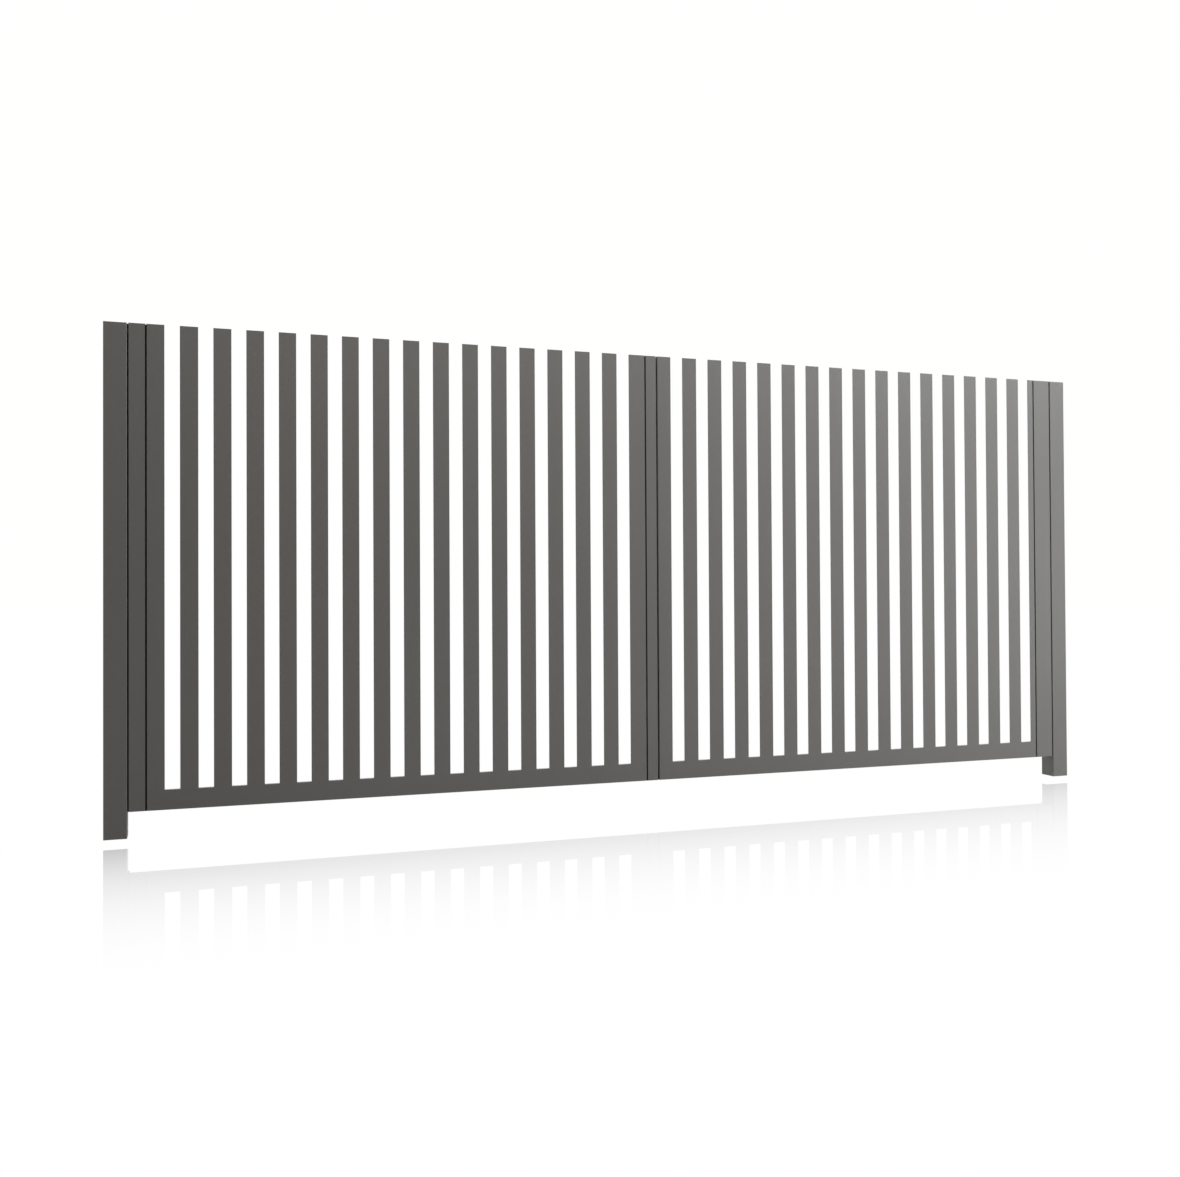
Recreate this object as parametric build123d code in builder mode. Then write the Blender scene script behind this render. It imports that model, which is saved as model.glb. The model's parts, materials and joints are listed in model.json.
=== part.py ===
"""Double-leaf aluminium swing gate with upright slats that stand free at the top.

Two square posts carry two leaves. Each leaf is a comb: a bottom rail with upright slats on it,
held between box stiles. The slats have flanks that taper back from the front face. A recessed
land on three of the stiles leaves a narrow shadow groove between stile and comb. Each leaf
turns on two pin hinges behind it, which stand on a full-height rail on the post's inner side.

Millimetres. +X runs along the gate to the right, +Y to the rear, +Z up. The origin is the
centre of the left post's foot, at ground level. The front faces of all pieces are flush.
"""

import os

from build123d import *

# Overall sizes
gate_height = 1750.0
ground_clearance = 90.0

# Posts
post_width = 75.0
post_wall = 3.0
post_corner = 2.0
foot_thickness = 6.0

# Leaf frame
frame_depth = 40.0
frame_wall = 2.5
frame_corner = 0.8
rail_height = 68.0
rail_bevel_drop = 8.0
rail_ledge_margin = 1.0
left_hinge_stile_width = 54.0
left_meeting_stile_width = 43.5
right_meeting_stile_width = 56.0
right_hinge_stile_width = 82.5

# Shadow groove between a stile and the comb
groove_width = 3.0
groove_depth = 4.0

# Slats
slat_count = 15
slat_width = 60.0
slat_gap = 50.0
slat_depth = 15.0
slat_lip = 1.5
slat_wall = 1.8
slat_corner = 0.5
left_hinge_edge_width = 58.0
left_meeting_edge_width = 67.0
right_hinge_edge_width = 28.5

# End caps
post_cap_thickness = 3.0
stile_cap_thickness = 3.0
slat_cap_thickness = 2.0
cap_plug_depth = 10.0
cap_plug_clearance = 0.2
cap_edge = 0.6

# Gaps between moving pieces
hinge_gap = 5.0
meeting_gap = 6.5

# Hinges
hinge_rail_thickness = 5.0
hinge_rail_width = 28.0
hinge_rail_setback = 1.0
knuckle_radius = 9.0
knuckle_height = 32.0
knuckle_edge = 1.0
knuckle_clearance = 2.0
pin_radius = 5.0
pin_clearance = 0.08
pin_end = 4.0
hinge_play = 0.3
bracket_width = 12.0
strap_thickness = 5.0
strap_width = 40.0
strap_height = 90.0
strap_inset = 7.5
strap_corner = 4.0
neck_width = 12.0
strap_screw_radius = 3.3
strap_screw_pitch = 60.0
lower_hinge_height = 290.0
upper_hinge_drop = 270.0

# Places worked out from the sizes
front = -post_width / 2
post_rear = post_width / 2
leaf_bottom = ground_clearance
rail_top = leaf_bottom + rail_height
frame_rear = front + frame_depth

left_stile_start = post_width / 2 + hinge_gap
left_comb_start = left_stile_start + left_hinge_stile_width + groove_width
left_first_slat = left_comb_start + left_hinge_edge_width + slat_gap
slat_pitch = slat_width + slat_gap
slat_run = slat_count * slat_pitch
left_last_edge = left_first_slat + slat_run
left_comb_end = left_last_edge + left_meeting_edge_width
left_meeting_start = left_comb_end + groove_width
left_leaf_end = left_meeting_start + left_meeting_stile_width

right_leaf_start = left_leaf_end + meeting_gap
right_comb_start = right_leaf_start + right_meeting_stile_width
right_first_slat = right_comb_start + slat_gap
right_last_edge = right_first_slat + slat_run
right_comb_end = right_last_edge + right_hinge_edge_width
right_stile_start = right_comb_end + groove_width
right_leaf_end = right_stile_start + right_hinge_stile_width
right_post_centre = right_leaf_end + hinge_gap + post_width / 2

hinge_rail_rear = post_rear - hinge_rail_setback
hinge_y = hinge_rail_rear - hinge_rail_width / 2
upper_hinge_height = gate_height - upper_hinge_drop
hinge_offset = post_width / 2 + hinge_rail_thickness + knuckle_clearance + knuckle_radius
left_hinge_x = hinge_offset
right_hinge_x = right_post_centre - hinge_offset

os.makedirs("parts", exist_ok=True)


def save(solid, name):
    """Label a finished piece and write it."""
    solid.label = name
    export_step(solid, f"parts/{name}.step")


def centred_box(x_low, x_high, y_low, y_high):
    """Rectangle between two corners, in the open sketch."""
    with Locations(((x_low + x_high) / 2, (y_low + y_high) / 2)):
        return Rectangle(x_high - x_low, y_high - y_low)


def make_post(centre):
    """Square hollow post from the foot plate to the underside of its cap."""
    height = gate_height - post_cap_thickness - foot_thickness
    with BuildPart() as post:
        with BuildSketch(Plane.XY.offset(foot_thickness)):
            with Locations((centre, 0)):
                RectangleRounded(post_width, post_width, post_corner)
                inner = post_width - 2 * post_wall
                Rectangle(inner, inner, mode=Mode.SUBTRACT)
        extrude(amount=height)
    return post.part


def make_post_foot(centre):
    """Plate that closes the foot of a post, flush with its outline."""
    with BuildPart() as foot:
        with BuildSketch():
            with Locations((centre, 0)):
                RectangleRounded(post_width, post_width, post_corner)
        extrude(amount=foot_thickness)
    return foot.part


def make_post_cap(centre):
    """Flat cap with a plug that fits in the post."""
    plug = post_width - 2 * (post_wall + cap_plug_clearance)
    with BuildPart() as cap:
        with BuildSketch(Plane.XY.offset(gate_height - post_cap_thickness)):
            with Locations((centre, 0)):
                RectangleRounded(post_width, post_width, post_corner)
        extrude(amount=post_cap_thickness)
        chamfer(cap.edges().group_by(Axis.Z)[-1], length=cap_edge)
        with BuildSketch(Plane.XY.offset(gate_height - post_cap_thickness)):
            with Locations((centre, 0)):
                Rectangle(plug, plug)
        extrude(amount=-cap_plug_depth)
    return cap.part


def make_stile(start, width, land_side):
    """Box stile. A recessed land on one side, -1 left or 1 right, meets the comb; 0 has none."""
    length = gate_height - stile_cap_thickness - leaf_bottom
    with BuildPart() as stile:
        with BuildSketch(Plane.XY.offset(leaf_bottom)):
            with Locations((start + width / 2, front + frame_depth / 2)):
                RectangleRounded(width, frame_depth, frame_corner)
            if land_side:
                edge = start if land_side < 0 else start + width
                low, high = sorted((edge - land_side * frame_wall, edge + land_side * groove_width))
                centred_box(low, high, front + groove_depth, frame_rear - groove_depth)
            with Locations((start + width / 2, front + frame_depth / 2)):
                Rectangle(width - 2 * frame_wall, frame_depth - 2 * frame_wall, mode=Mode.SUBTRACT)
        extrude(amount=length)
    return stile.part


def make_stile_caps(stiles):
    """Top cap and bottom plug of each stile, as separate solids of one piece."""
    clearance = frame_wall + cap_plug_clearance
    with BuildPart() as caps:
        for start, width in stiles:
            middle = (start + width / 2, front + frame_depth / 2)
            with BuildSketch(Plane.XY.offset(gate_height - stile_cap_thickness)):
                with Locations(middle):
                    RectangleRounded(width, frame_depth, frame_corner)
            extrude(amount=stile_cap_thickness)
            for plane_height in (gate_height - stile_cap_thickness, leaf_bottom + cap_plug_depth):
                with BuildSketch(Plane.XY.offset(plane_height)):
                    with Locations(middle):
                        Rectangle(width - 2 * clearance, frame_depth - 2 * clearance)
                extrude(amount=-cap_plug_depth)
    return caps.part


def slat_outline(start, width, taper_left, taper_right, inset=0.0):
    """Face of a slat's section: full width at the front, with 45 degree flanks where it tapers."""
    taper = slat_depth - slat_lip
    lip = front + slat_lip
    rear = front + slat_depth
    points = [(start, front), (start + width, front)]
    if taper_right:
        points += [(start + width, lip), (start + width - taper, rear)]
    else:
        points += [(start + width, rear)]
    if taper_left:
        points += [(start + taper, rear), (start, lip)]
    else:
        points += [(start, rear)]
    outline = Polygon(*points, align=None, mode=Mode.PRIVATE)
    if inset:
        outline = offset(outline, amount=-inset, kind=Kind.INTERSECTION, mode=Mode.PRIVATE)
    return outline


def make_slats(slats):
    """Hollow slats that stand on the bottom rail, each (start, width, taper_left, taper_right)."""
    length = gate_height - slat_cap_thickness - rail_top
    with BuildPart() as made:
        for shape in slats:
            with BuildSketch(Plane.XY.offset(rail_top)) as section:
                add(slat_outline(*shape))
                fillet(section.vertices(), slat_corner)
                add(slat_outline(*shape, inset=slat_wall), mode=Mode.SUBTRACT)
            extrude(amount=length)
    return made.part


def make_slat_caps(slats):
    """Caps of the slats' open top ends, each with a plug."""
    with BuildPart() as made:
        for shape in slats:
            with BuildSketch(Plane.XY.offset(gate_height - slat_cap_thickness)) as section:
                add(slat_outline(*shape))
                fillet(section.vertices(), slat_corner)
            extrude(amount=slat_cap_thickness)
            with BuildSketch(Plane.XY.offset(gate_height - slat_cap_thickness)):
                add(slat_outline(*shape, inset=slat_wall + cap_plug_clearance))
            extrude(amount=-cap_plug_depth)
    return made.part


def make_bottom_rail(start, end):
    """Hollow rail. Its top is flat under the slats and falls away behind them to shed water."""
    ledge = front + slat_depth + rail_ledge_margin
    with BuildPart() as rail:
        with BuildSketch(Plane.YZ.offset(start)):
            outline = Polygon(
                (front, leaf_bottom),
                (frame_rear, leaf_bottom),
                (frame_rear, rail_top - rail_bevel_drop),
                (ledge, rail_top),
                (front, rail_top),
                align=None,
            )
            offset(outline, amount=-frame_wall, kind=Kind.INTERSECTION, mode=Mode.SUBTRACT)
        extrude(amount=end - start)
    return rail.part


def make_hinge_rail(post_centre, side):
    """Flat bar on the post's inner side, behind the gap. side is 1 on the left post, -1 on the right."""
    face = post_centre + side * post_width / 2
    low, high = sorted((face, face + side * hinge_rail_thickness))
    with BuildPart() as rail:
        with BuildSketch(Plane.XY.offset(leaf_bottom)):
            centred_box(low, high, hinge_rail_rear - hinge_rail_width, hinge_rail_rear)
        extrude(amount=gate_height - post_cap_thickness - leaf_bottom)
    return rail.part


def make_hinge_pin(hinge_x, height, side):
    """Fixed half of a hinge: a knuckle on a bracket, with the pin standing in it."""
    face = hinge_x - side * (knuckle_radius + knuckle_clearance)
    low, high = sorted((face, hinge_x))
    pin_length = knuckle_height + hinge_play + pin_end
    with BuildPart() as pin:
        with BuildSketch(Plane.XY.offset(height - knuckle_height)):
            with Locations((hinge_x, hinge_y)):
                Circle(knuckle_radius)
            centred_box(low, high, hinge_y - bracket_width / 2, hinge_y + bracket_width / 2)
        extrude(amount=knuckle_height)
        with BuildSketch(Plane.XY.offset(height)):
            with Locations((hinge_x, hinge_y)):
                Circle(pin_radius)
        extrude(amount=pin_length)
        chamfer(pin.edges().group_by(Axis.Z)[-1], length=knuckle_edge)
    return pin.part


def make_hinge_eye(hinge_x, height, side):
    """Moving half of a hinge: an eye on a neck, with a strap screwed to the stile's rear face."""
    bottom = height + hinge_play
    strap_start = hinge_x + side * (strap_inset - knuckle_radius)
    strap_end = strap_start + side * strap_width
    low, high = sorted((strap_start, strap_end))
    strap_rear = frame_rear + strap_thickness
    strap_middle = bottom + knuckle_height / 2
    with BuildPart() as eye:
        with BuildSketch(Plane.XY.offset(bottom)):
            with Locations((hinge_x, hinge_y)):
                Circle(knuckle_radius)
            centred_box(hinge_x - neck_width / 2, hinge_x + neck_width / 2, frame_rear, hinge_y)
        extrude(amount=knuckle_height)
        with BuildSketch(Plane.XZ.offset(-frame_rear)) as strap:
            with Locations(((low + high) / 2, strap_middle)):
                RectangleRounded(strap_width, strap_height, strap_corner)
        extrude(amount=-strap_thickness)
        with BuildSketch(Plane.XY.offset(bottom)):
            with Locations((hinge_x, hinge_y)):
                Circle(pin_radius + pin_clearance)
        extrude(amount=knuckle_height, mode=Mode.SUBTRACT)
        with Locations(Plane.XZ.offset(-strap_rear)):
            with Locations(((low + high) / 2, strap_middle)):
                with GridLocations(0, strap_screw_pitch, 1, 2):
                    Hole(strap_screw_radius, depth=strap_thickness)
    return eye.part


def slat_places(first):
    """The full slats of a leaf, as (start, width, taper_left, taper_right)."""
    return [(first + n * slat_pitch, slat_width, True, True) for n in range(slat_count)]


left_slats = slat_places(left_first_slat)
right_slats = slat_places(right_first_slat)
left_hinge_edge = (left_comb_start, left_hinge_edge_width, False, True)
left_meeting_edge = (left_last_edge, left_meeting_edge_width, True, False)
right_hinge_edge = (right_last_edge, right_hinge_edge_width, True, False)
left_stiles = [
    (left_stile_start, left_hinge_stile_width),
    (left_meeting_start, left_meeting_stile_width),
]
right_stiles = [
    (right_leaf_start, right_meeting_stile_width),
    (right_stile_start, right_hinge_stile_width),
]

# Posts and the fixed halves of the hinges
for hand, centre, side, hinge_x in (
    ("left", 0.0, 1, left_hinge_x),
    ("right", right_post_centre, -1, right_hinge_x),
):
    save(make_post(centre), f"{hand}_post")
    save(make_post_foot(centre), f"{hand}_post_foot")
    save(make_post_cap(centre), f"{hand}_post_cap")
    save(make_hinge_rail(centre, side), f"{hand}_hinge_rail")
    for place, height in (("lower", lower_hinge_height), ("upper", upper_hinge_height)):
        save(make_hinge_pin(hinge_x, height, side), f"{hand}_{place}_hinge_pin")
        save(make_hinge_eye(hinge_x, height, side), f"{hand}_{place}_hinge_eye")

# Left leaf
save(make_stile(*left_stiles[0], 1), "left_hinge_stile")
save(make_stile(*left_stiles[1], -1), "left_meeting_stile")
save(make_stile_caps(left_stiles), "left_stile_caps")
save(make_bottom_rail(left_comb_start, left_comb_end), "left_bottom_rail")
save(make_slats(left_slats), "left_slats")
save(make_slats([left_hinge_edge]), "left_hinge_edge_slat")
save(make_slats([left_meeting_edge]), "left_meeting_edge_slat")
save(make_slat_caps([left_hinge_edge, *left_slats, left_meeting_edge]), "left_slat_caps")

# Right leaf
save(make_stile(*right_stiles[0], 0), "right_meeting_stile")
save(make_stile(*right_stiles[1], -1), "right_hinge_stile")
save(make_stile_caps(right_stiles), "right_stile_caps")
save(make_bottom_rail(right_comb_start, right_comb_end), "right_bottom_rail")
save(make_slats(right_slats), "right_slats")
save(make_slats([right_hinge_edge]), "right_hinge_edge_slat")
save(make_slat_caps([*right_slats, right_hinge_edge]), "right_slat_caps")
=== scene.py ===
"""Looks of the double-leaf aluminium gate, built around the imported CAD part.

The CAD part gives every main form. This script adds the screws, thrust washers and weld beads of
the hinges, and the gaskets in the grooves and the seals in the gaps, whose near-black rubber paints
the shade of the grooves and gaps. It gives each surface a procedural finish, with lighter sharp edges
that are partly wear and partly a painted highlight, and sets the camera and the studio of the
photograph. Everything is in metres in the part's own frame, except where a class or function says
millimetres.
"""

import json
import logging
import math
from dataclasses import dataclass, field
from enum import Enum

import bmesh
import bpy
from mathutils import Matrix, Vector

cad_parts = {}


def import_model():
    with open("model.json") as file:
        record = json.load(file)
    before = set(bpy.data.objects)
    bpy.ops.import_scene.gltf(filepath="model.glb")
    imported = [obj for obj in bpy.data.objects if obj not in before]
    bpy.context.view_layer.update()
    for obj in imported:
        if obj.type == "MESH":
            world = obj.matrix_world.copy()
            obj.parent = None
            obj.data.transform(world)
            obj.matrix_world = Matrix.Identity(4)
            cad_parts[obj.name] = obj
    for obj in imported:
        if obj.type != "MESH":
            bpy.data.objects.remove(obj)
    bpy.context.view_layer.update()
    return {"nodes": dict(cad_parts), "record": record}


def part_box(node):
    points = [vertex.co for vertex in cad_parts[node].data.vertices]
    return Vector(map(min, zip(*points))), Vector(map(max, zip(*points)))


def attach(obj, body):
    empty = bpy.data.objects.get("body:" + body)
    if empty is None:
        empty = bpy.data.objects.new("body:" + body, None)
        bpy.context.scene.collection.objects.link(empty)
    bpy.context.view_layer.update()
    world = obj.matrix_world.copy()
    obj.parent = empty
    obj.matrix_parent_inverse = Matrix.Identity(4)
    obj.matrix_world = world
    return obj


LOG = logging.getLogger("gate")

MM = 0.001
PHOTO_WIDTH = 1180.0
PHOTO_HEIGHT = 1177.0
SENSOR_WIDTH = 36.0
MERGE_DISTANCE = 1e-7

# Edges that turn less than this are shaded smooth
SMOOTH_TURN = math.radians(35)
WELD_SMOOTH_TURN = math.radians(50)

# Sockets of a Mix node that blends colours
MIX_FIRST = 6
MIX_SECOND = 7
MIX_RESULT = 2

# Sizes of the textures in the shared shader groups
GRAIN_SMOOTHNESS = 0.7
GRAIN_SPECK_RATIO = 2.3
GRAIN_SPECK_DETAIL = 3.0
CLOUD_DETAIL = 4.0
CLOUD_ROUGHNESS = 0.45
EDGE_SAMPLES = 6
EDGE_BREAKUP_SCALE = 120.0
EDGE_GAIN = 5.0
DUST_SCALE = 9.0
DUST_DETAIL = 6.0
DUST_FALL = 1.6


class Hand(Enum):
    """Which post and leaf a piece belongs to. The value is the direction from post to leaf."""

    LEFT = 1
    RIGHT = -1

    @property
    def prefix(self) -> str:
        """Start of the CAD names on this side."""
        return self.name.lower()

    @property
    def leaf(self) -> str:
        """Name of the moving body on this side."""
        return f"{self.prefix}_leaf"


class Place(Enum):
    """The two hinges of a leaf."""

    LOWER = "lower"
    UPPER = "upper"


class Slot(Enum):
    """The record's material slots."""

    FRAME = "frame_coat"
    CAP = "cap_coat"
    HINGE = "hinge_coat"


# Shader groups shared by the finishes


def new_group(
    name: str, inputs: list[tuple[str, str, object]], outputs: list[tuple[str, str]]
) -> tuple[bpy.types.NodeTree, bpy.types.Node, bpy.types.Node]:
    """Make an empty shader group.

    Args:
        name: Name of the group.
        inputs: Name, socket type and default value of each input.
        outputs: Name and socket type of each output.

    Returns:
        The group, its input node and its output node.
    """
    tree = bpy.data.node_groups.new(name, "ShaderNodeTree")
    for label, kind, default in inputs:
        socket = tree.interface.new_socket(label, in_out="INPUT", socket_type=kind)
        if default is not None:
            socket.default_value = default
    for label, kind in outputs:
        tree.interface.new_socket(label, in_out="OUTPUT", socket_type=kind)
    return tree, tree.nodes.new("NodeGroupInput"), tree.nodes.new("NodeGroupOutput")


def add_math(
    tree: bpy.types.NodeTree, operation: str, first: object, second: object = 0.0
) -> bpy.types.NodeSocket:
    """Add a math node.

    Args:
        tree: Tree that gets the node.
        operation: Blender's name of the operation.
        first: A socket or a number.
        second: A socket or a number.

    Returns:
        The result's socket.
    """
    node = tree.nodes.new("ShaderNodeMath")
    node.operation = operation
    for index, value in enumerate((first, second)):
        if isinstance(value, bpy.types.NodeSocket):
            tree.links.new(value, node.inputs[index])
        else:
            node.inputs[index].default_value = value
    return node.outputs[0]


def add_group(
    tree: bpy.types.NodeTree, group: bpy.types.NodeTree, place: bpy.types.NodeSocket, **values: float
) -> bpy.types.Node:
    """Add a shared shader group that reads a position.

    Args:
        tree: Tree that gets the group.
        group: The shared group.
        place: Socket of the position.
        **values: Values of the group's other inputs.

    Returns:
        The group's node.
    """
    node = tree.nodes.new("ShaderNodeGroup")
    node.node_tree = group
    tree.links.new(place, node.inputs["Vector"])
    for label, value in values.items():
        node.inputs[label].default_value = value
    return node


def add_blend(
    tree: bpy.types.NodeTree, share: bpy.types.NodeSocket, first: object, second: tuple[float, ...]
) -> bpy.types.NodeSocket:
    """Add a blend of two colours.

    Args:
        tree: Tree that gets the node.
        share: Socket of the second colour's share.
        first: A socket or a colour.
        second: A colour.

    Returns:
        The blended colour's socket.
    """
    node = tree.nodes.new("ShaderNodeMix")
    node.data_type = "RGBA"
    tree.links.new(share, node.inputs[0])
    if isinstance(first, bpy.types.NodeSocket):
        tree.links.new(first, node.inputs[MIX_FIRST])
    else:
        node.inputs[MIX_FIRST].default_value = (*first, 1.0)
    node.inputs[MIX_SECOND].default_value = (*second, 1.0)
    return node.outputs[MIX_RESULT]


def make_grain_group() -> bpy.types.NodeTree:
    """Fine pebbled relief of a matt powder coat.

    Returns:
        A group from a position and a scale to a height.
    """
    tree, entry, end = new_group(
        "coat_grain",
        [("Vector", "NodeSocketVector", None), ("Scale", "NodeSocketFloat", 900.0)],
        [("Height", "NodeSocketFloat")],
    )
    pebble = tree.nodes.new("ShaderNodeTexVoronoi")
    pebble.feature = "SMOOTH_F1"
    pebble.inputs["Smoothness"].default_value = GRAIN_SMOOTHNESS
    speck = tree.nodes.new("ShaderNodeTexNoise")
    speck.inputs["Detail"].default_value = GRAIN_SPECK_DETAIL
    finer = add_math(tree, "MULTIPLY", entry.outputs["Scale"], GRAIN_SPECK_RATIO)
    tree.links.new(entry.outputs["Vector"], pebble.inputs["Vector"])
    tree.links.new(entry.outputs["Scale"], pebble.inputs["Scale"])
    tree.links.new(entry.outputs["Vector"], speck.inputs["Vector"])
    tree.links.new(finer, speck.inputs["Scale"])
    height = add_math(tree, "ADD", pebble.outputs["Distance"], speck.outputs[0])
    tree.links.new(add_math(tree, "MULTIPLY", height, 0.5), end.inputs["Height"])
    return tree


def make_cloud_group() -> bpy.types.NodeTree:
    """Slow drift of tone over a coated section.

    Returns:
        A group from a position to a value that stays near one half.
    """
    tree, entry, end = new_group(
        "coat_cloud",
        [("Vector", "NodeSocketVector", None), ("Scale", "NodeSocketFloat", 1.6)],
        [("Value", "NodeSocketFloat")],
    )
    slow = tree.nodes.new("ShaderNodeTexNoise")
    slow.inputs["Detail"].default_value = CLOUD_DETAIL
    slow.inputs["Roughness"].default_value = CLOUD_ROUGHNESS
    tree.links.new(entry.outputs["Vector"], slow.inputs["Vector"])
    tree.links.new(entry.outputs["Scale"], slow.inputs["Scale"])
    tree.links.new(slow.outputs[0], end.inputs["Value"])
    return tree


def make_edge_group() -> bpy.types.NodeTree:
    """Mask of the sharp edges, where the coat draws thin and the finishes lighten the colour, partly as wear
    and partly as a painted highlight.

    Returns:
        A group from a position to a mask and a softened normal.
    """
    tree, entry, end = new_group(
        "coat_edge",
        [("Vector", "NodeSocketVector", None), ("Radius", "NodeSocketFloat", 0.0008)],
        [("Mask", "NodeSocketFloat"), ("Normal", "NodeSocketVector")],
    )
    soft = tree.nodes.new("ShaderNodeBevel")
    soft.samples = EDGE_SAMPLES
    plain = tree.nodes.new("ShaderNodeNewGeometry")
    dot = tree.nodes.new("ShaderNodeVectorMath")
    dot.operation = "DOT_PRODUCT"
    breakup = tree.nodes.new("ShaderNodeTexNoise")
    breakup.inputs["Scale"].default_value = EDGE_BREAKUP_SCALE
    tree.links.new(entry.outputs["Radius"], soft.inputs["Radius"])
    tree.links.new(entry.outputs["Vector"], breakup.inputs["Vector"])
    tree.links.new(soft.outputs["Normal"], dot.inputs[0])
    tree.links.new(plain.outputs["Normal"], dot.inputs[1])
    turned = add_math(tree, "SUBTRACT", 1.0, dot.outputs["Value"])
    strong = add_math(tree, "MULTIPLY", turned, EDGE_GAIN)
    mask = add_math(tree, "MULTIPLY", strong, breakup.outputs[0])
    limited = add_math(tree, "MINIMUM", mask, 1.0)
    tree.links.new(limited, end.inputs["Mask"])
    tree.links.new(soft.outputs["Normal"], end.inputs["Normal"])
    return tree


def make_dust_group() -> bpy.types.NodeTree:
    """Mask of the dust that splashes up from the ground, strongest at the foot.

    Returns:
        A group from a position and a reach in metres to a mask.
    """
    tree, entry, end = new_group(
        "ground_dust",
        [("Vector", "NodeSocketVector", None), ("Reach", "NodeSocketFloat", 0.25)],
        [("Mask", "NodeSocketFloat")],
    )
    parts = tree.nodes.new("ShaderNodeSeparateXYZ")
    cloud = tree.nodes.new("ShaderNodeTexNoise")
    cloud.inputs["Scale"].default_value = DUST_SCALE
    cloud.inputs["Detail"].default_value = DUST_DETAIL
    tree.links.new(entry.outputs["Vector"], parts.inputs[0])
    tree.links.new(entry.outputs["Vector"], cloud.inputs["Vector"])
    share = add_math(tree, "DIVIDE", parts.outputs["Z"], entry.outputs["Reach"])
    fall = add_math(tree, "SUBTRACT", 1.0, share)
    low = add_math(tree, "MAXIMUM", fall)
    curve = add_math(tree, "POWER", low, DUST_FALL)
    tree.links.new(add_math(tree, "MULTIPLY", curve, cloud.outputs[0]), end.inputs["Mask"])
    return tree


@dataclass
class EffectGroups:
    """The shader groups that all finishes share."""

    grain: bpy.types.NodeTree = field(default_factory=make_grain_group)
    cloud: bpy.types.NodeTree = field(default_factory=make_cloud_group)
    edge: bpy.types.NodeTree = field(default_factory=make_edge_group)
    dust: bpy.types.NodeTree = field(default_factory=make_dust_group)


@dataclass(frozen=True)
class CoatFinish:
    """A powder or wet coat on metal, as numbers for the Principled shader."""

    name: str
    dark: tuple[float, float, float]
    light: tuple[float, float, float]
    # Lighter colour on the sharp edges: partly thin-coat wear, partly a painted highlight
    edge: tuple[float, float, float]
    dust: tuple[float, float, float]
    roughness: float
    metallic: float = 0.0
    specular: float = 0.5
    grain_scale: float = 900.0
    grain_strength: float = 0.12
    grain_distance: float = 0.00012
    edge_radius: float = 0.0008
    edge_wear_and_highlight_share: float = 0.35
    dust_share: float = 0.1
    dust_reach: float = 0.2
    grain_roughness: float = 0.08
    edge_polish: float = 0.08

    def build(self, groups: EffectGroups) -> bpy.types.Material:
        """Make the material.

        Args:
            groups: The shared effect groups.

        Returns:
            The finished material.
        """
        material = bpy.data.materials.new(self.name)
        material.use_nodes = True
        tree = material.node_tree
        shader = tree.nodes["Principled BSDF"]
        shader.inputs["Metallic"].default_value = self.metallic
        shader.inputs["Specular IOR Level"].default_value = self.specular
        place = tree.nodes.new("ShaderNodeTexCoord").outputs["Object"]
        cloud = add_group(tree, groups.cloud, place)
        grain = add_group(tree, groups.grain, place, Scale=self.grain_scale)
        edge = add_group(tree, groups.edge, place, Radius=self.edge_radius)
        dust = add_group(tree, groups.dust, place, Reach=self.dust_reach)
        tone = add_blend(tree, cloud.outputs["Value"], self.dark, self.light)
        # Lighten the sharp edges: partly wear, partly a painted highlight
        wear_and_highlight = add_math(tree, "MULTIPLY", edge.outputs["Mask"], self.edge_wear_and_highlight_share)
        worn_and_highlit = add_blend(tree, wear_and_highlight, tone, self.edge)
        dusty = add_math(tree, "MULTIPLY", dust.outputs["Mask"], self.dust_share)
        tree.links.new(add_blend(tree, dusty, worn_and_highlit, self.dust), shader.inputs["Base Color"])
        drift = add_math(tree, "MULTIPLY", grain.outputs["Height"], self.grain_roughness)
        rough = add_math(tree, "ADD", drift, self.roughness)
        smooth = add_math(tree, "MULTIPLY", edge.outputs["Mask"], -self.edge_polish)
        tree.links.new(add_math(tree, "ADD", rough, smooth), shader.inputs["Roughness"])
        bump = tree.nodes.new("ShaderNodeBump")
        bump.inputs["Strength"].default_value = self.grain_strength
        bump.inputs["Distance"].default_value = self.grain_distance
        tree.links.new(grain.outputs["Height"], bump.inputs["Height"])
        tree.links.new(edge.outputs["Normal"], bump.inputs["Normal"])
        tree.links.new(bump.outputs["Normal"], shader.inputs["Normal"])
        return material


@dataclass(frozen=True)
class PlasticFinish:
    """Plain moulded plastic or rubber with a faint mottle, for washers, gaskets and seals; the near-black
    gasket rubber paints shade.
    """

    name: str
    colour: tuple[float, float, float]
    roughness: float
    specular: float = 0.5
    mottle_scale: float = 60.0
    mottle_dark: float = 0.8

    def build(self, groups: EffectGroups) -> bpy.types.Material:
        """Make the material.

        Args:
            groups: The shared effect groups.

        Returns:
            The finished material.
        """
        material = bpy.data.materials.new(self.name)
        material.use_nodes = True
        tree = material.node_tree
        shader = tree.nodes["Principled BSDF"]
        place = tree.nodes.new("ShaderNodeTexCoord").outputs["Object"]
        mottle = add_group(tree, groups.cloud, place, Scale=self.mottle_scale)
        deep = tuple(self.mottle_dark * part for part in self.colour)
        tone = add_blend(tree, mottle.outputs["Value"], deep, self.colour)
        tree.links.new(tone, shader.inputs["Base Color"])
        shader.inputs["Roughness"].default_value = self.roughness
        shader.inputs["Specular IOR Level"].default_value = self.specular
        return material


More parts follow.
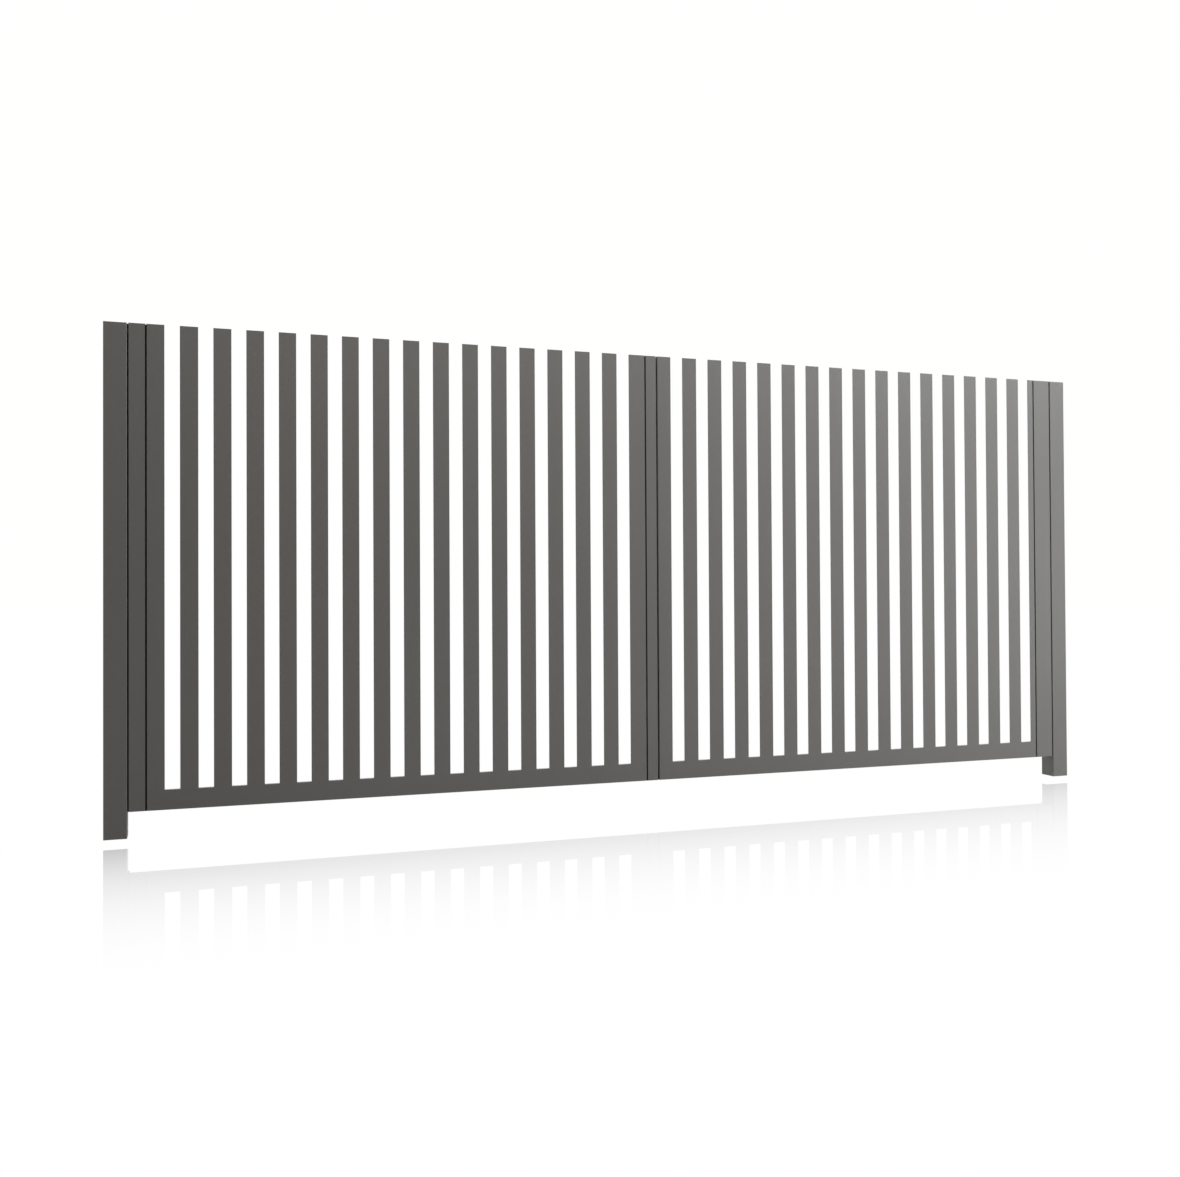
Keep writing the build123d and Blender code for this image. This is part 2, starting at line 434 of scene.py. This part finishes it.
FRAME_COAT = CoatFinish(
    name="frame_coat",
    dark=(0.0815, 0.077, 0.0695),
    light=(0.092, 0.087, 0.079),
    edge=(0.13, 0.126, 0.118),
    dust=(0.2, 0.19, 0.17),
    roughness=0.42,
    edge_radius=0.0006,
    edge_wear_and_highlight_share=0.14,
    dust_share=0.04,
)
CAP_COAT = CoatFinish(
    name="cap_coat",
    dark=(0.0775, 0.073, 0.066),
    light=(0.088, 0.083, 0.0755),
    edge=(0.12, 0.117, 0.11),
    dust=(0.2, 0.19, 0.17),
    roughness=0.46,
    grain_scale=1100.0,
    edge_radius=0.0006,
    edge_wear_and_highlight_share=0.2,
)
HINGE_COAT = CoatFinish(
    name="hinge_coat",
    dark=(0.052, 0.052, 0.05),
    light=(0.062, 0.062, 0.06),
    edge=(0.3, 0.3, 0.29),
    dust=(0.2, 0.19, 0.17),
    roughness=0.34,
    grain_scale=1400.0,
    grain_strength=0.08,
    edge_radius=0.0006,
    edge_wear_and_highlight_share=0.5,
)
SCREW_STEEL = CoatFinish(
    name="screw_steel",
    dark=(0.42, 0.42, 0.41),
    light=(0.52, 0.52, 0.51),
    edge=(0.62, 0.62, 0.61),
    dust=(0.3, 0.28, 0.25),
    roughness=0.28,
    metallic=1.0,
    grain_scale=2400.0,
    grain_strength=0.05,
    edge_radius=0.0002,
)
WELD_COAT = CoatFinish(
    name="weld_coat",
    dark=(0.05, 0.05, 0.048),
    light=(0.062, 0.062, 0.06),
    edge=(0.1, 0.1, 0.098),
    dust=(0.2, 0.19, 0.17),
    roughness=0.4,
    grain_scale=700.0,
    grain_strength=0.2,
    edge_radius=0.0003,
    edge_wear_and_highlight_share=0.1,
)
WASHER_PLASTIC = PlasticFinish(name="washer_plastic", colour=(0.03, 0.03, 0.032), roughness=0.5)
# Near-black rubber of the joint gaskets and gap seals; its darkness paints the shade of the grooves and gaps
SHADE_BLACK_GASKET_RUBBER = PlasticFinish(
    name="gasket_rubber_painted_shade", colour=(0.004, 0.004, 0.004), roughness=0.85, specular=0.05
)


# Mesh helpers


def finish_mesh(
    name: str, bm: bmesh.types.BMesh, material: bpy.types.Material, smooth: float = SMOOTH_TURN
) -> bpy.types.Object:
    """Turn edited geometry into an object at the origin, with its normals out.

    Args:
        name: Name of the object.
        bm: The geometry, which is freed here.
        material: Its finish.
        smooth: Edges that turn less than this, in radians, are shaded smooth.

    Returns:
        The object, linked to the scene.
    """
    bmesh.ops.remove_doubles(bm, verts=bm.verts, dist=MERGE_DISTANCE)
    bmesh.ops.recalc_face_normals(bm, faces=bm.faces)
    for face in bm.faces:
        face.smooth = True
    for edge in bm.edges:
        edge.smooth = len(edge.link_faces) != 2 or edge.calc_face_angle(0.0) < smooth
    mesh = bpy.data.meshes.new(name)
    bm.to_mesh(mesh)
    bm.free()
    mesh.materials.append(material)
    piece = bpy.data.objects.new(name, mesh)
    bpy.context.scene.collection.objects.link(piece)
    return piece


def added_verts(bm: bmesh.types.BMesh, before: set[bmesh.types.BMVert]) -> list[bmesh.types.BMVert]:
    """Points that were added since a set of points was kept.

    Args:
        bm: The geometry.
        before: The points that it had.

    Returns:
        The new points.
    """
    return [vert for vert in bm.verts if vert not in before]


def grow_ring(
    bm: bmesh.types.BMesh, face: bmesh.types.BMFace, radius: float, height: float
) -> bmesh.types.BMFace:
    """Extrude a round face and set the new ring to a radius and height.

    Args:
        bm: Geometry that holds the face.
        face: The round face, centred on the Z axis.
        radius: Radius of the new ring, in millimetres.
        height: Height of the new ring, in millimetres.

    Returns:
        The new end face.
    """
    made = bmesh.ops.extrude_face_region(bm, geom=[face])
    end = next(item for item in made["geom"] if isinstance(item, bmesh.types.BMFace))
    for vert in end.verts:
        outward = Vector((vert.co.x, vert.co.y, 0.0)).normalized() * radius * MM
        vert.co = (outward.x, outward.y, height * MM)
    return end


def ring_stack(
    bm: bmesh.types.BMesh, rings: list[tuple[float, float]], segments: int
) -> bmesh.types.BMFace:
    """Closed round form through rings of (radius, height), in millimetres.

    Args:
        bm: Geometry that gets the form.
        rings: The rings from the bottom up.
        segments: Points in each ring.

    Returns:
        The top face.
    """
    radius, height = rings[0]
    seat = Matrix.Translation((0.0, 0.0, height * MM))
    made = bmesh.ops.create_circle(bm, cap_ends=True, radius=radius * MM, segments=segments, matrix=seat)
    face = made["verts"][0].link_faces[0]
    for radius, height in rings[1:]:
        face = grow_ring(bm, face, radius, height)
    return face


def turned_ring(bm: bmesh.types.BMesh, profile: list[tuple[float, float]], steps: int) -> None:
    """Turn a closed profile of (radius, height) points, in millimetres, round the Z axis.

    Args:
        bm: Geometry that gets the ring.
        profile: The corners of the section, in order.
        steps: Steps in the turn.
    """
    before = set(bm.verts)
    corners = [bm.verts.new((radius * MM, 0.0, height * MM)) for radius, height in profile]
    edges = [bm.edges.new(pair) for pair in zip(corners, corners[1:] + corners[:1])]
    bmesh.ops.spin(
        bm,
        geom=corners + edges,
        cent=(0.0, 0.0, 0.0),
        axis=(0.0, 0.0, 1.0),
        angle=math.tau,
        steps=steps,
        use_merge=True,
        use_duplicate=False,
    )
    bmesh.ops.remove_doubles(bm, verts=added_verts(bm, before), dist=MERGE_DISTANCE)


def extruded_strip(
    bm: bmesh.types.BMesh, outline: list[tuple[float, float]], low: float, high: float
) -> None:
    """Draw a closed outline upwards into a strip.

    Args:
        bm: Geometry that gets the strip.
        outline: Corners in the ground plane, in millimetres.
        low: Height of the lower end, in metres.
        high: Height of the upper end, in metres.
    """
    foot = bm.faces.new([bm.verts.new((x * MM, y * MM, low)) for x, y in outline])
    made = bmesh.ops.extrude_face_region(bm, geom=[foot], use_keep_orig=True)
    top = [item for item in made["geom"] if isinstance(item, bmesh.types.BMVert)]
    bmesh.ops.translate(bm, vec=(0.0, 0.0, high - low), verts=top)


def facing(direction: tuple[float, float, float], place: tuple[float, float, float]) -> Matrix:
    """Seat whose Z axis points along a direction.

    Args:
        direction: Where the Z axis points.
        place: Origin of the seat, in metres.

    Returns:
        The seat's matrix.
    """
    turn = Vector((0.0, 0.0, 1.0)).rotation_difference(Vector(direction))
    return Matrix.Translation(place) @ turn.to_matrix().to_4x4()


# Sub-assemblies


@dataclass(frozen=True)
class SocketScrew:
    """Button-head screw with a hexagon socket, as numbers in millimetres."""

    head_radius: float = 5.2
    head_height: float = 2.7
    flat_radius: float = 2.9
    socket_across: float = 3.6
    socket_depth: float = 1.7
    shank_radius: float = 0.0
    shank_length: float = 0.0
    shank_start: float = 0.02
    rim: float = 0.25
    cheek: float = 0.6
    dome_steps: int = 5
    segments: int = 36
    shank_segments: int = 20

    def add_to(self, bm: bmesh.types.BMesh, seat: Matrix) -> None:
        """Add the screw with its head on the seat's plane.

        Args:
            bm: Geometry that gets the screw.
            seat: Its Z axis points out of the head.
        """
        before = set(bm.verts)
        rise = self.head_height
        reach = self.head_radius - self.flat_radius
        full = self.head_radius
        rings = [(full - self.rim, 0.0), (full, self.rim), (full, self.cheek)]
        for step in range(1, self.dome_steps + 1):
            turn = step / self.dome_steps * math.pi / 2
            radius = self.flat_radius + reach * math.cos(turn)
            rings.append((radius, self.cheek + (rise - self.cheek) * math.sin(turn)))
        top = ring_stack(bm, rings, self.segments)
        bmesh.ops.inset_individual(bm, faces=[top], thickness=self.rim * MM)
        for vert in top.verts:
            angle = math.atan2(vert.co.y, vert.co.x)
            off_flat = (angle + math.pi / 6) % (math.pi / 3) - math.pi / 6
            reach_out = self.socket_across / 2 * MM / math.cos(off_flat)
            vert.co.x = reach_out * math.cos(angle)
            vert.co.y = reach_out * math.sin(angle)
        made = bmesh.ops.extrude_face_region(bm, geom=[top])
        floor = [item for item in made["geom"] if isinstance(item, bmesh.types.BMVert)]
        bmesh.ops.translate(bm, vec=(0.0, 0.0, -self.socket_depth * MM), verts=floor)
        if self.shank_length:
            ends = (-self.shank_length, -self.shank_start)
            ring_stack(bm, [(self.shank_radius, end) for end in ends], self.shank_segments)
        bmesh.ops.transform(bm, matrix=seat, verts=added_verts(bm, before))


@dataclass
class HingeLayout:
    """Places that the hinge pieces share, read from the CAD nodes of one side, in metres."""

    hand: Hand
    knuckle_height: float = 0.032

    def __post_init__(self) -> None:
        """Read the boxes of the CAD nodes."""
        prefix = self.hand.prefix
        self.pins = {place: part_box(f"{prefix}_{place.value}_hinge_pin") for place in Place}
        self.eyes = {place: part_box(f"{prefix}_{place.value}_hinge_eye") for place in Place}
        self.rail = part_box(f"{prefix}_hinge_rail")
        low, high = self.pins[Place.LOWER]
        self.axis_y = (low.y + high.y) / 2
        radius = (high.y - low.y) / 2
        self.axis_x = high.x - radius if self.hand is Hand.LEFT else low.x + radius
        self.rail_face = self.rail[1].x if self.hand is Hand.LEFT else self.rail[0].x

    def knuckle_top(self, place: Place) -> float:
        """Height of the joint between a fixed knuckle and its eye.

        Args:
            place: Which hinge.

        Returns:
            The height in metres.
        """
        return self.pins[place][0].z + self.knuckle_height


@dataclass
class StrapScrews:
    """Two screws through the strap of each hinge eye, into the stile. Millimetres."""

    layout: HingeLayout
    finish: bpy.types.Material
    screw: SocketScrew = SocketScrew(shank_radius=3.0, shank_length=4.9)
    pitch: float = 60.0
    strap_reach: float = 18.5
    strap_rear: float = 7.5

    def build(self) -> bpy.types.Object:
        """Make the screws of this side's leaf.

        Returns:
            One object that rides on the leaf.
        """
        bm = bmesh.new()
        across = self.layout.axis_x + self.layout.hand.value * self.strap_reach * MM
        for low, high in self.layout.eyes.values():
            middle = (low.z + high.z) / 2
            for side in (-1, 1):
                height = middle + side * self.pitch / 2 * MM
                seat = facing((0.0, 1.0, 0.0), (across, self.strap_rear * MM, height))
                self.screw.add_to(bm, seat)
        piece = finish_mesh(f"{self.layout.hand.prefix}_strap_screws", bm, self.finish)
        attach(piece, self.layout.hand.leaf)
        return piece


@dataclass
class RailScrews:
    """Screws that hold the hinge rail on the post's inner side, with their heights in metres."""

    layout: HingeLayout
    finish: bpy.types.Material
    screw: SocketScrew = SocketScrew(
        head_radius=4.2, head_height=1.9, flat_radius=2.4, socket_across=3.0, socket_depth=1.2
    )
    heights: tuple[float, ...] = (0.15, 0.42, 0.76, 1.1, 1.36, 1.67)

    def build(self) -> bpy.types.Object:
        """Make the screws of one hinge rail.

        Returns:
            One object that rides on the posts.
        """
        bm = bmesh.new()
        outward = (float(self.layout.hand.value), 0.0, 0.0)
        for height in self.heights:
            seat = facing(outward, (self.layout.rail_face, self.layout.axis_y, height))
            self.screw.add_to(bm, seat)
        piece = finish_mesh(f"{self.layout.hand.prefix}_rail_screws", bm, self.finish)
        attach(piece, "posts")
        return piece


@dataclass
class ThrustWashers:
    """Thin plastic ring between each fixed knuckle and its eye, which carries the leaf. Millimetres."""

    layout: HingeLayout
    finish: bpy.types.Material
    inner: float = 5.3
    outer: float = 9.5
    thickness: float = 0.26
    lip_share: float = 0.25
    clearance: float = 0.02
    steps: int = 48

    def build(self) -> bpy.types.Object:
        """Make both washers of this side.

        Returns:
            One object that rides on the posts.
        """
        bm = bmesh.new()
        for place in Place:
            before = set(bm.verts)
            lip = self.thickness * self.lip_share
            section = [
                (self.inner, 0.0),
                (self.outer - lip, 0.0),
                (self.outer, lip),
                (self.outer, self.thickness - lip),
                (self.outer - lip, self.thickness),
                (self.inner, self.thickness),
            ]
            turned_ring(bm, section, self.steps)
            height = self.layout.knuckle_top(place) + self.clearance * MM
            seat = Matrix.Translation((self.layout.axis_x, self.layout.axis_y, height))
            bmesh.ops.transform(bm, matrix=seat, verts=added_verts(bm, before))
        piece = finish_mesh(f"{self.layout.hand.prefix}_thrust_washers", bm, self.finish)
        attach(piece, "posts")
        return piece


@dataclass
class BracketWelds:
    """Rippled weld beads where each bracket meets the hinge rail. Millimetres."""

    layout: HingeLayout
    finish: bpy.types.Material
    bead_radius: float = 2.1
    ripple: float = 0.28
    ripple_pitch: float = 1.5
    bracket_half: float = 6.0
    tip_radius: float = 0.5
    end_margin: float = 0.5
    taper_rate: float = 6.0
    steps_per_ripple: int = 4
    segments: int = 14

    def add_bead(self, bm: bmesh.types.BMesh, start: Vector, end: Vector) -> None:
        """Add one bead between two points.

        Args:
            bm: Geometry that gets the bead.
            start: One end, in metres.
            end: The other end, in metres.
        """
        before = set(bm.verts)
        length = (end - start).length / MM
        per = self.steps_per_ripple
        steps = max(per, round(length / self.ripple_pitch * per))
        rings = [(self.tip_radius, 0.0)]
        for step in range(1, steps):
            share = step / steps
            taper = math.sqrt(min(1.0, self.taper_rate * share, self.taper_rate * (1 - share)))
            wave = self.ripple * math.sin(math.tau * length * share / self.ripple_pitch)
            rings.append(((self.bead_radius + wave) * taper, length * share))
        rings.append((self.tip_radius, length))
        ring_stack(bm, rings, self.segments)
        seat = facing(tuple((end - start).normalized()), tuple(start))
        bmesh.ops.transform(bm, matrix=seat, verts=added_verts(bm, before))

    def build(self) -> bpy.types.Object:
        """Make the beads of both hinges of this side.

        Returns:
            One object that rides on the posts.
        """
        bm = bmesh.new()
        face = self.layout.rail_face
        for place in Place:
            bottom = self.layout.pins[place][0].z + self.end_margin * MM
            top = self.layout.knuckle_top(place) - self.end_margin * MM
            for side in (-1, 1):
                edge = self.layout.axis_y + side * self.bracket_half * MM
                self.add_bead(bm, Vector((face, edge, bottom)), Vector((face, edge, top)))
        piece = finish_mesh(f"{self.layout.hand.prefix}_bracket_welds", bm, self.finish, WELD_SMOOTH_TURN)
        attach(piece, "posts")
        return piece


@dataclass
class JointShadeGaskets:
    """Black gasket with a thin round lip in each groove between a stile and the comb; its near-black strip
    paints the groove's shade. Millimetres.
    """

    hand: Hand
    finish: bpy.types.Material
    groove: float = 3.0
    stem: float = 2.98
    lip: float = 5.8
    crown: float = 0.45
    face: float = -37.5
    land: float = -33.5
    end_margin: float = 0.5
    steps: int = 8

    def grooves(self) -> list[float]:
        """Places of the grooves in this side's leaf.

        Returns:
            The X of the middle of each groove, in millimetres.
        """
        half = self.groove / 2
        if self.hand is Hand.LEFT:
            return [
                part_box("left_hinge_stile")[1].x / MM - half,
                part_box("left_meeting_stile")[0].x / MM + half,
            ]
        return [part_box("right_hinge_stile")[0].x / MM + half]

    def build(self) -> bpy.types.Object:
        """Make the gaskets of this side's leaf.

        Returns:
            One object that rides on the leaf.
        """
        low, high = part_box(f"{self.hand.prefix}_hinge_stile")
        half = self.stem / 2
        head = []
        for step in range(self.steps + 1):
            turn = step / self.steps * math.pi
            head.append((self.lip / 2 * math.cos(turn), self.face - self.crown * math.sin(turn)))
        body = [(-half, self.face), (-half, self.land), (half, self.land), (half, self.face)]
        margin = self.end_margin * MM
        bm = bmesh.new()
        for middle in self.grooves():
            outline = [(middle + x, y) for x, y in head + body]
            extruded_strip(bm, outline, low.z + margin, high.z - margin)
        piece = finish_mesh(f"{self.hand.prefix}_joint_gaskets", bm, self.finish)
        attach(piece, self.hand.leaf)
        return piece


@dataclass
class GapShadeSeal:
    """Black bulb seal on a stile's edge, which closes the view through the gap and whose near-black colour
    paints the gap's shade. Millimetres.
    """

    name: str
    stile: str
    leaf: str
    direction: int
    finish: bpy.types.Material
    reach: float = 4.6
    middle: float = -31.8
    half_depth: float = 3.6
    foot_margin: float = 1.0
    top_margin: float = 0.4
    steps: int = 12

    def build(self) -> bpy.types.Object:
        """Make the seal.

        Returns:
            One object that rides on the leaf.
        """
        low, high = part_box(self.stile)
        face = (high.x if self.direction > 0 else low.x) / MM
        outline = []
        for step in range(self.steps + 1):
            turn = math.pi * (step / self.steps - 0.5)
            bulge = self.reach * math.sqrt(max(0.0, math.cos(turn)))
            depth = self.middle + self.half_depth * math.sin(turn)
            outline.append((face + self.direction * bulge, depth))
        bm = bmesh.new()
        extruded_strip(bm, outline, low.z + self.foot_margin * MM, high.z - self.top_margin * MM)
        piece = finish_mesh(self.name, bm, self.finish)
        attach(piece, self.leaf)
        return piece


@dataclass
class CoatedFrame:
    """The CAD nodes with the finish of their material slot."""

    record: dict
    nodes: dict[str, bpy.types.Object]
    finishes: dict[str, bpy.types.Material]

    def build(self) -> int:
        """Put a finish on every CAD node.

        Returns:
            The number of nodes.
        """
        slots = {row["node"]: row["material_slot"] for row in self.record["subparts"]}
        for name, node in self.nodes.items():
            for material_slot in node.material_slots:
                material_slot.material = self.finishes[slots[name]]
        return len(self.nodes)


# Studio

COOL_WHITE = (0.975, 1.0, 1.045)


@dataclass
class SoftBox:
    """Rectangular soft light that faces a point. Metres and watts."""

    name: str
    place: tuple[float, float, float]
    target: tuple[float, float, float]
    size: tuple[float, float]
    power: float
    colour: tuple[float, float, float] = (1.0, 1.0, 1.0)

    def build(self) -> bpy.types.Object:
        """Make the light.

        Returns:
            The light, linked to the scene.
        """
        data = bpy.data.lights.new(self.name, "AREA")
        data.shape = "RECTANGLE"
        data.size, data.size_y = self.size
        data.energy = self.power
        data.color = self.colour
        light = bpy.data.objects.new(self.name, data)
        bpy.context.scene.collection.objects.link(light)
        light.visible_camera = False
        light.location = self.place
        aim = Vector(self.target) - Vector(self.place)
        light.rotation_euler = aim.to_track_quat("-Z", "Y").to_euler()
        return light


@dataclass
class Studio:
    """White room with soft light from above and from the right, and a bright rear half."""

    tint: tuple[float, float, float] = (1.0, 1.0, 0.995)
    seen_white: float = 1.0
    front_fill: float = 0.0
    rear_fill: float = 1.6
    blend_half: float = 0.2
    boxes: list[SoftBox] = field(
        default_factory=lambda: [
            SoftBox(
                name="high_right_box",
                place=(6.0, -2.0, 4.5),
                target=(3.0, 0.0, 1.0),
                size=(3.0, 3.0),
                power=474.0,
                colour=COOL_WHITE,
            ),
            SoftBox(
                name="high_front_box",
                place=(2.0, -4.0, 5.0),
                target=(2.0, 0.0, 1.0),
                size=(5.0, 2.0),
                power=169.0,
            ),
            SoftBox(
                name="low_right_box",
                place=(8.0, -4.5, 1.0),
                target=(3.2, 0.0, 0.9),
                size=(3.0, 2.0),
                power=103.0,
                colour=COOL_WHITE,
            ),
        ]
    )

    def build_world(self) -> bpy.types.World:
        """Make the white surroundings, which give more light from behind than from the front.

        Returns:
            The world.
        """
        world = bpy.data.worlds.new("studio")
        world.use_nodes = True
        tree = world.node_tree
        background = tree.nodes["Background"]
        background.inputs["Color"].default_value = (*self.tint, 1.0)
        parts = tree.nodes.new("ShaderNodeSeparateXYZ")
        tree.links.new(tree.nodes.new("ShaderNodeTexCoord").outputs["Generated"], parts.inputs[0])
        halves = tree.nodes.new("ShaderNodeMapRange")
        halves.interpolation_type = "SMOOTHSTEP"
        halves.inputs["From Min"].default_value = -self.blend_half
        halves.inputs["From Max"].default_value = self.blend_half
        halves.inputs["To Min"].default_value = self.front_fill
        halves.inputs["To Max"].default_value = self.rear_fill
        tree.links.new(parts.outputs["Y"], halves.inputs["Value"])
        seen = tree.nodes.new("ShaderNodeMix")
        seen.inputs[3].default_value = self.seen_white
        path = tree.nodes.new("ShaderNodeLightPath")
        direct = add_math(tree, "MAXIMUM", path.outputs["Is Camera Ray"], path.outputs["Is Singular Ray"])
        tree.links.new(direct, seen.inputs[0])
        tree.links.new(halves.outputs[0], seen.inputs[2])
        tree.links.new(seen.outputs[0], background.inputs["Strength"])
        return world

    def build(self) -> None:
        """Make the world and the lights."""
        bpy.context.scene.world = self.build_world()
        for box in self.boxes:
            box.build()


@dataclass
class PaleFloor:
    """Round white floor whose gloss fades out away from the gate. Metres."""

    radius: float = 60.0
    centre_x: float = 1.945
    depth: float = 0.0168
    colour: tuple[float, float, float] = (0.435, 0.435, 0.431)
    gloss_edge: float = 0.12
    post_side: float = 1.8
    gloss_start: float = 0.54
    gloss_reach: float = 1.65
    gloss_fall: float = 2.3
    gloss_drift: float = 0.055
    matt_roughness: float = 0.6
    segments: int = 96

    def gloss_share(self, tree: bpy.types.NodeTree) -> bpy.types.NodeSocket:
        """Share of the mirror image, which falls with the distance from the gate's plane.

        Args:
            tree: The floor's shader.

        Returns:
            A socket that is zero beyond the reach and right in front of the posts' feet.
        """
        parts = tree.nodes.new("ShaderNodeSeparateXYZ")
        tree.links.new(tree.nodes.new("ShaderNodeTexCoord").outputs["Object"], parts.inputs[0])
        across = parts.outputs["Y"]
        away = add_math(tree, "DIVIDE", add_math(tree, "ABSOLUTE", across), self.gloss_reach)
        left = add_math(tree, "MAXIMUM", add_math(tree, "SUBTRACT", 1.0, away))
        curve = add_math(tree, "POWER", left, self.gloss_fall)
        fall = add_math(tree, "MULTIPLY", curve, self.gloss_start)
        ahead = add_math(tree, "LESS_THAN", across)
        near = add_math(tree, "GREATER_THAN", across, -self.gloss_edge)
        along = add_math(tree, "SUBTRACT", parts.outputs["X"], self.centre_x)
        beside = add_math(tree, "GREATER_THAN", add_math(tree, "ABSOLUTE", along), self.post_side)
        foot = add_math(tree, "MULTIPLY", add_math(tree, "MULTIPLY", ahead, near), beside)
        shown = add_math(tree, "MULTIPLY", fall, add_math(tree, "SUBTRACT", 1.0, foot))
        drift = add_math(tree, "MULTIPLY", parts.outputs["X"], self.gloss_drift)
        return add_math(tree, "MULTIPLY", shown, add_math(tree, "SUBTRACT", 1.0, drift))

    def build(self) -> bpy.types.Object:
        """Make the floor.

        Returns:
            The floor.
        """
        bm = bmesh.new()
        seat = Matrix.Translation((self.centre_x, 0.0, -self.depth))
        bmesh.ops.create_circle(
            bm, cap_ends=True, radius=self.radius, segments=self.segments, matrix=seat
        )
        material = bpy.data.materials.new("pale_floor")
        material.use_nodes = True
        tree = material.node_tree
        matt = tree.nodes["Principled BSDF"]
        matt.inputs["Base Color"].default_value = (*self.colour, 1.0)
        matt.inputs["Roughness"].default_value = self.matt_roughness
        white = tree.nodes.new("ShaderNodeEmission")
        mirror = tree.nodes.new("ShaderNodeBsdfAnisotropic")
        mirror.inputs["Color"].default_value = (1.0, 1.0, 1.0, 1.0)
        mirror.inputs["Roughness"].default_value = 0.0
        seen = tree.nodes.new("ShaderNodeMixShader")
        tree.links.new(self.gloss_share(tree), seen.inputs[0])
        tree.links.new(white.outputs[0], seen.inputs[1])
        tree.links.new(mirror.outputs[0], seen.inputs[2])
        choice = tree.nodes.new("ShaderNodeMixShader")
        tree.links.new(tree.nodes.new("ShaderNodeLightPath").outputs["Is Camera Ray"], choice.inputs[0])
        tree.links.new(matt.outputs[0], choice.inputs[1])
        tree.links.new(seen.outputs[0], choice.inputs[2])
        tree.links.new(choice.outputs[0], tree.nodes["Material Output"].inputs["Surface"])
        floor = finish_mesh("floor", bm, material)
        return floor


@dataclass
class PhotoCamera:
    """Camera that repeats the photograph's view, from the perspective fit. Metres and degrees."""

    focal_px: float = 1173.2588
    centre_y_px: float = 577.8076
    place: tuple[float, float, float] = (0.24916, -4.30582, 0.82535)
    yaw: float = 18.70144
    pitch: float = 0.70215
    roll: float = -0.30441
    clip_end: float = 200.0

    def build(self) -> bpy.types.Object:
        """Make the camera and use it in the scene.

        Returns:
            The camera.
        """
        data = bpy.data.cameras.new("photo_camera")
        data.sensor_fit = "HORIZONTAL"
        data.sensor_width = SENSOR_WIDTH
        data.lens = self.focal_px / PHOTO_WIDTH * SENSOR_WIDTH
        data.shift_y = (self.centre_y_px - PHOTO_HEIGHT / 2) / PHOTO_WIDTH
        data.clip_end = self.clip_end
        yaw, pitch, roll = (math.radians(value) for value in (self.yaw, self.pitch, self.roll))
        ahead = Vector((math.sin(yaw) * math.cos(pitch), math.cos(yaw) * math.cos(pitch), math.sin(pitch)))
        level = Vector((math.cos(yaw), -math.sin(yaw), 0.0))
        upright = level.cross(ahead)
        right = level * math.cos(roll) + upright * math.sin(roll)
        above = upright * math.cos(roll) - level * math.sin(roll)
        turn = Matrix((right, above, -ahead)).transposed()
        camera = bpy.data.objects.new("photo_camera", data)
        bpy.context.scene.collection.objects.link(camera)
        camera.matrix_world = Matrix.Translation(self.place) @ turn.to_4x4()
        bpy.context.scene.camera = camera
        return camera


def main() -> None:
    """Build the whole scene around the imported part."""
    logging.basicConfig(level=logging.INFO, format="%(name)s %(message)s")
    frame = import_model()
    PhotoCamera().build()
    Studio().build()
    PaleFloor().build()
    groups = EffectGroups()
    finishes = {
        Slot.FRAME.value: FRAME_COAT.build(groups),
        Slot.CAP.value: CAP_COAT.build(groups),
        Slot.HINGE.value: HINGE_COAT.build(groups),
    }
    count = CoatedFrame(frame["record"], frame["nodes"], finishes).build()
    LOG.info("coated %d CAD nodes", count)
    steel = SCREW_STEEL.build(groups)
    weld = WELD_COAT.build(groups)
    plastic = WASHER_PLASTIC.build(groups)
    # Near-black rubber that paints the shade in the grooves and gaps
    shade_rubber = SHADE_BLACK_GASKET_RUBBER.build(groups)
    assemblies = []
    for hand in Hand:
        layout = HingeLayout(hand)
        assemblies += [
            StrapScrews(layout, steel),
            RailScrews(layout, steel),
            ThrustWashers(layout, plastic),
            BracketWelds(layout, weld),
            JointShadeGaskets(hand, shade_rubber),
            GapShadeSeal(f"{hand.prefix}_gap_seal", f"{hand.prefix}_hinge_stile", hand.leaf, -hand.value, shade_rubber),
        ]
    assemblies.append(
        GapShadeSeal("left_meeting_shade_seal", "left_meeting_stile", Hand.LEFT.leaf, 1, shade_rubber, reach=4.4)
    )
    for assembly in assemblies:
        piece = assembly.build()
        LOG.info("made %s, %d faces", piece.name, len(piece.data.polygons))
    scene = bpy.context.scene
    scene.view_settings.view_transform = "Standard"


if __name__ == "__main__":
    main()
